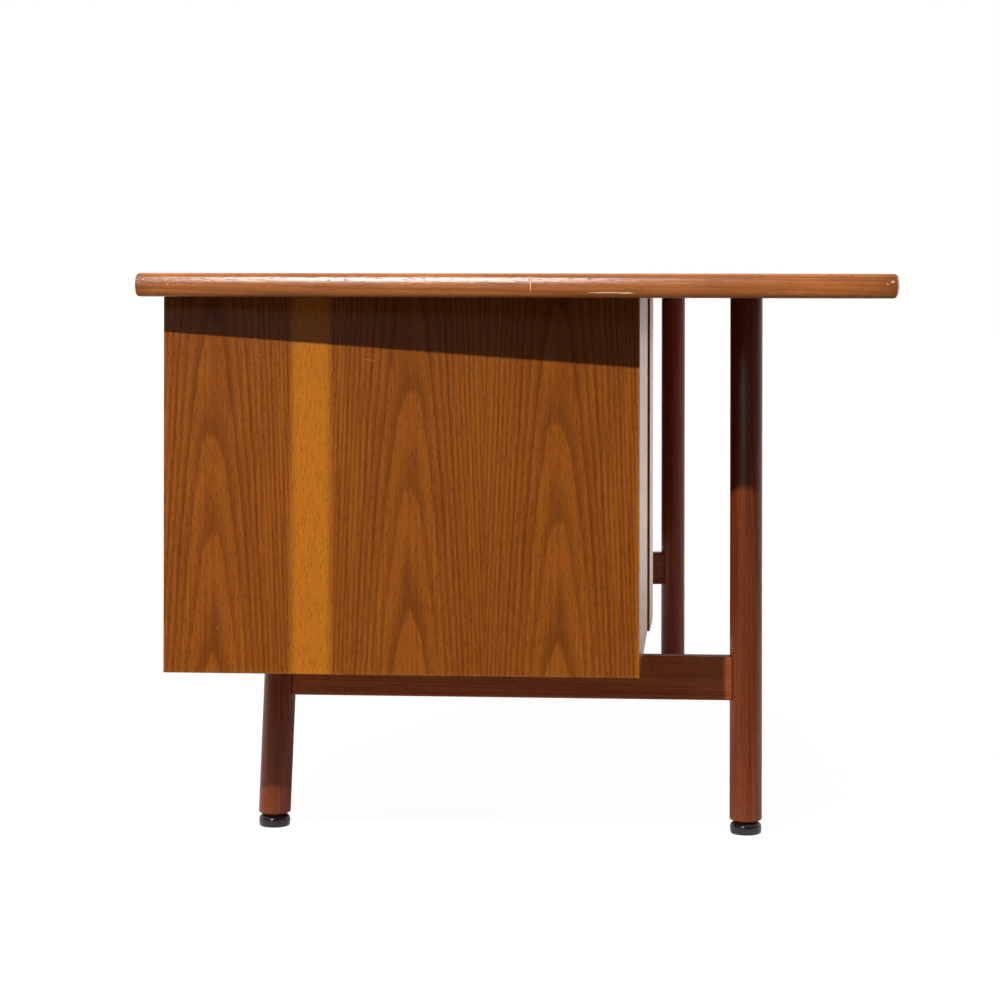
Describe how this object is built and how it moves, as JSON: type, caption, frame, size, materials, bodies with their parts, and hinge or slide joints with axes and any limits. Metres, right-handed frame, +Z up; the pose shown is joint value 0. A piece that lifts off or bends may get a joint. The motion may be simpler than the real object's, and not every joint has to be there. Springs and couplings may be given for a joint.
{
  "type": "writing desk",
  "caption": "Executive writing desk with a curved plan: veneered top, two drawer pedestals on stretcher frames with round legs, bowed modesty panel, levelling glides.",
  "frame": {"origin": "on the floor, under the middle of the desk's box in plan", "axes": "+X to the sitter's right along the desk, +Y to the visitors' side, +Z up"},
  "size_m": [2.136, 1.0155, 0.737],
  "materials": {
    "teak_veneer": "oiled teak veneer, satin, with worn edges",
    "teak_edge": "solid teak lipping, polished",
    "walnut_frame": "dark stained hardwood, satin",
    "drawer_beech": "sanded beech, thin lacquer",
    "black_glide": "moulded black plastic, glossy"
  },
  "bodies": {
    "root": {"left_file_drawer_left_runner": "drawer_beech", "left_file_drawer_right_runner": "drawer_beech", "left_pedestal_back": "teak_veneer", "left_pedestal_bottom": "teak_veneer", "left_pedestal_inner_side": "teak_veneer", "left_pedestal_outer_side": "teak_veneer", "left_stretcher": "walnut_frame", "left_top_drawer_left_runner": "drawer_beech", "left_top_drawer_right_runner": "drawer_beech", "left_user_leg": "walnut_frame", "left_visitor_leg": "walnut_frame", "lipping_left_end": "teak_edge", "lipping_right_end": "teak_edge", "lipping_user": "teak_edge", "lipping_visitor": "teak_edge", "modesty_panel": "teak_veneer", "right_bottom_drawer_left_runner": "drawer_beech", "right_bottom_drawer_right_runner": "drawer_beech", "right_middle_drawer_left_runner": "drawer_beech", "right_middle_drawer_right_runner": "drawer_beech", "right_pedestal_back": "teak_veneer", "right_pedestal_bottom": "teak_veneer", "right_pedestal_inner_side": "teak_veneer", "right_pedestal_outer_side": "teak_veneer", "right_stretcher": "walnut_frame", "right_top_drawer_left_runner": "drawer_beech", "right_top_drawer_right_runner": "drawer_beech", "right_user_leg": "walnut_frame", "right_visitor_leg": "walnut_frame", "tabletop_core": "teak_veneer"},
    "right_bottom_drawer": {"right_bottom_drawer_front": "teak_veneer", "right_bottom_drawer_left_side": "drawer_beech", "right_bottom_drawer_right_side": "drawer_beech", "right_bottom_drawer_back": "drawer_beech", "right_bottom_drawer_bottom": "drawer_beech"},
    "right_middle_drawer": {"right_middle_drawer_front": "teak_veneer", "right_middle_drawer_left_side": "drawer_beech", "right_middle_drawer_right_side": "drawer_beech", "right_middle_drawer_back": "drawer_beech", "right_middle_drawer_bottom": "drawer_beech"},
    "right_top_drawer": {"right_top_drawer_front": "teak_veneer", "right_top_drawer_left_side": "drawer_beech", "right_top_drawer_right_side": "drawer_beech", "right_top_drawer_back": "drawer_beech", "right_top_drawer_bottom": "drawer_beech"},
    "right_user_leg_glide": {"right_user_leg_glide": "black_glide"},
    "right_visitor_leg_glide": {"right_visitor_leg_glide": "black_glide"},
    "left_file_drawer": {"left_file_drawer_front": "teak_veneer", "left_file_drawer_left_side": "drawer_beech", "left_file_drawer_right_side": "drawer_beech", "left_file_drawer_back": "drawer_beech", "left_file_drawer_bottom": "drawer_beech"},
    "left_top_drawer": {"left_top_drawer_front": "teak_veneer", "left_top_drawer_left_side": "drawer_beech", "left_top_drawer_right_side": "drawer_beech", "left_top_drawer_back": "drawer_beech", "left_top_drawer_bottom": "drawer_beech"},
    "left_user_leg_glide": {"left_user_leg_glide": "black_glide"},
    "left_visitor_leg_glide": {"left_visitor_leg_glide": "black_glide"}
  },
  "joints": [
    {"name": "right_bottom_drawer_slide", "type": "slide", "parent": "root", "child": "right_bottom_drawer", "axis": [-0.0826, -0.9966, 0], "range_m": [0, 0.4]},
    {"name": "right_middle_drawer_slide", "type": "slide", "parent": "root", "child": "right_middle_drawer", "axis": [-0.0826, -0.9966, 0], "range_m": [0, 0.4]},
    {"name": "right_top_drawer_slide", "type": "slide", "parent": "root", "child": "right_top_drawer", "axis": [-0.0826, -0.9966, 0], "range_m": [0, 0.4]},
    {"name": "right_user_leg_glide_screw", "type": "slide", "parent": "root", "child": "right_user_leg_glide", "axis": [0, 0, -1], "range_m": [0, 0.01]},
    {"name": "right_visitor_leg_glide_screw", "type": "slide", "parent": "root", "child": "right_visitor_leg_glide", "axis": [0, 0, -1], "range_m": [0, 0.01]},
    {"name": "left_file_drawer_slide", "type": "slide", "parent": "root", "child": "left_file_drawer", "axis": [0.0826, -0.9966, 0], "range_m": [0, 0.4]},
    {"name": "left_top_drawer_slide", "type": "slide", "parent": "root", "child": "left_top_drawer", "axis": [0.0826, -0.9966, 0], "range_m": [0, 0.4]},
    {"name": "left_user_leg_glide_screw", "type": "slide", "parent": "root", "child": "left_user_leg_glide", "axis": [0, 0, -1], "range_m": [0, 0.01]},
    {"name": "left_visitor_leg_glide_screw", "type": "slide", "parent": "root", "child": "left_visitor_leg_glide", "axis": [0, 0, -1], "range_m": [0, 0.01]}
  ]
}
